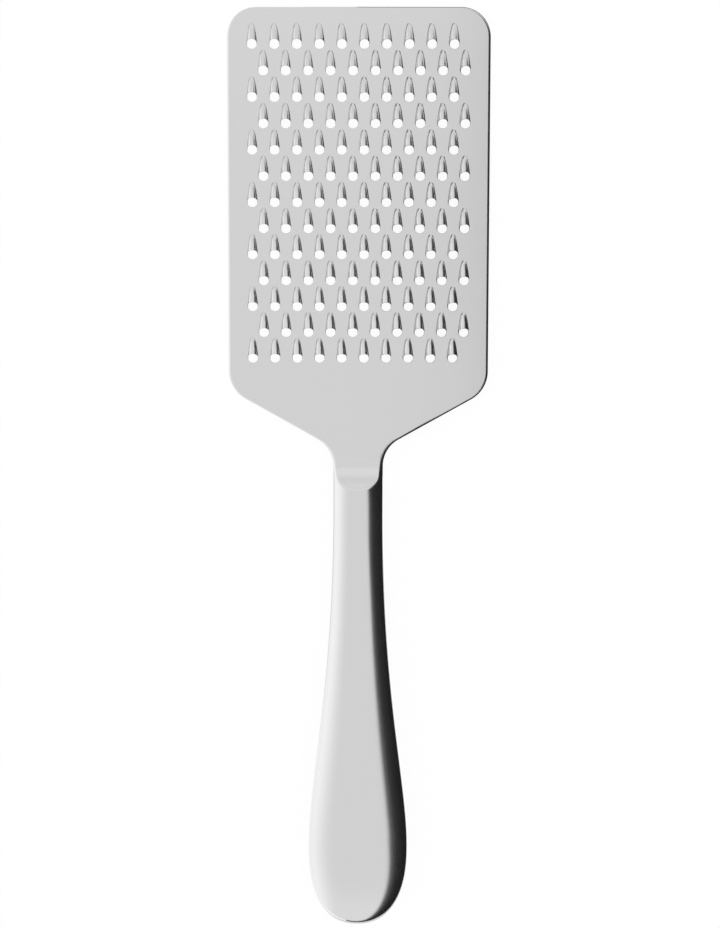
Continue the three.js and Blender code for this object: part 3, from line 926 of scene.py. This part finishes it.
def low_flags(black):
    """The two low walls: one along the handle and round its end, and one along the right shoulder."""
    handle_side, shoulder_side, shoulder_turn = 32 * MM, 42.5 * MM, 13.5 * MM
    return [
        low_flag("handle_flag", (
            (handle_side, 3 * MM, 0),
            (handle_side, FLAG_END, handle_side),
            (-6 * MM, FLAG_END, 0),
        ), 90 * MM, flag_felt("low_black_felt", black, handle_edge)),
        low_flag("shoulder_flag", (
            (13.5 * MM, 7.4 * MM, 0),
            (shoulder_side, 23.5 * MM, shoulder_turn),
            (shoulder_side, 50 * MM, 0),
        ), 5.5 * MM, flag_felt("shoulder_black_felt", black)),
    ]


def large_cards(studio):
    """The leaning flag on the right, and a flag and a lit card that lie on the floor to either side."""
    leaning = Matrix.Rotation(math.atan2(studio.flag_height, studio.flag_reach), 4, "Y")
    slope = 2 * math.hypot(studio.flag_reach, studio.flag_height)
    turned = Matrix.Rotation(studio.flag_turn, 4, "Z")
    width, depth = 0.6, 2
    cards = []
    for name, centre, turn, size, material in (
        ("side_flag", (0, 140 * MM, studio.flag_height), leaning, (slope, 320 * MM),
         flag_felt("feathered_black_felt", studio.felt, side_edge)),
        ("floor_flag", (311.6 * MM, 0, CARD_LIFT), turned, (width, depth),
         flag_felt("black_felt", studio.felt)),
        ("floor_card", (-316 * MM, 0, CARD_LIFT), Matrix(), (width, depth),
         white_card(studio.card_light)),
    ):
        matrix = Matrix.Translation(centre) @ turn @ Matrix.Diagonal((*size, 1, 1))
        cards.append(stage_plane(name, matrix, material))
    return cards


class GRATER_OT_stage(Operator):
    """Builds the floor, the light and the camera"""
    bl_idname = "grater.stage"
    bl_label = "Stage"

    def execute(self, context):
        scene, studio = context.scene, context.scene.grater_studio
        floor_size = 6
        stage_plane("floor", Matrix.Scale(floor_size, 4), sweep_paper(studio.paper))
        for card in low_flags(studio.felt) + large_cards(studio):
            card.visible_camera = card.visible_diffuse = card.visible_shadow = False
        studio_world(studio)
        place = rest_place(scene.grater_sheet)
        aim = place @ Vector((studio.aim_side, -studio.aim_back, 0))
        back = place.to_3x3() @ Vector((0, math.sin(studio.lean), math.cos(studio.lean)))
        lens = bpy.data.cameras.new("camera")
        lens.lens = studio.lens
        camera = bpy.data.objects.new("camera", lens)
        camera.location = aim + back * studio.distance
        camera.rotation_euler = (-math.atan2(back.y, back.z), 0, studio.roll)
        scene.collection.objects.link(camera)
        scene.camera = camera
        scene.view_settings.view_transform = "Standard"
        return {"FINISHED"}


class GRATER_PT_panel(Panel):
    """Sizes, finishes and pieces of the grater"""
    bl_idname = "GRATER_PT_panel"
    bl_label = "Hand Grater"
    bl_space_type = "VIEW_3D"
    bl_region_type = "UI"
    bl_category = "Grater"

    def draw(self, context):
        for operator in OPERATORS:
            self.layout.operator(operator.bl_idname)
        for name, label in GROUPS.items():
            box = self.layout.box()
            box.label(text=label)
            group = getattr(context.scene, name)
            for prop in group.__annotations__:
                box.prop(group, prop)


OPERATORS = (GRATER_OT_blade, GRATER_OT_neck, GRATER_OT_shells, GRATER_OT_inside, GRATER_OT_stage)
GROUPS = {
    "grater_sheet": "Sheet",
    "grater_teeth": "Teeth",
    "grater_handle": "Neck and handle",
    "grater_finish": "Finishes",
    "grater_studio": "Studio",
}
GROUP_TYPES = (GraterSheet, GraterTeeth, GraterHandle, GraterFinish, GraterStudio)


def register():
    for item in (*GROUP_TYPES, *OPERATORS, GRATER_PT_panel):
        bpy.utils.register_class(item)
    for name, group in zip(GROUPS, GROUP_TYPES):
        setattr(bpy.types.Scene, name, PointerProperty(type=group))


def unregister():
    for name in GROUPS:
        delattr(bpy.types.Scene, name)
    for item in reversed((*GROUP_TYPES, *OPERATORS, GRATER_PT_panel)):
        bpy.utils.unregister_class(item)


def main():
    register()
    bpy.ops.grater.blade()
    bpy.ops.grater.neck()
    bpy.ops.grater.shells()
    bpy.ops.grater.inside()
    bpy.ops.grater.stage()


if __name__ == "__main__":
    main()
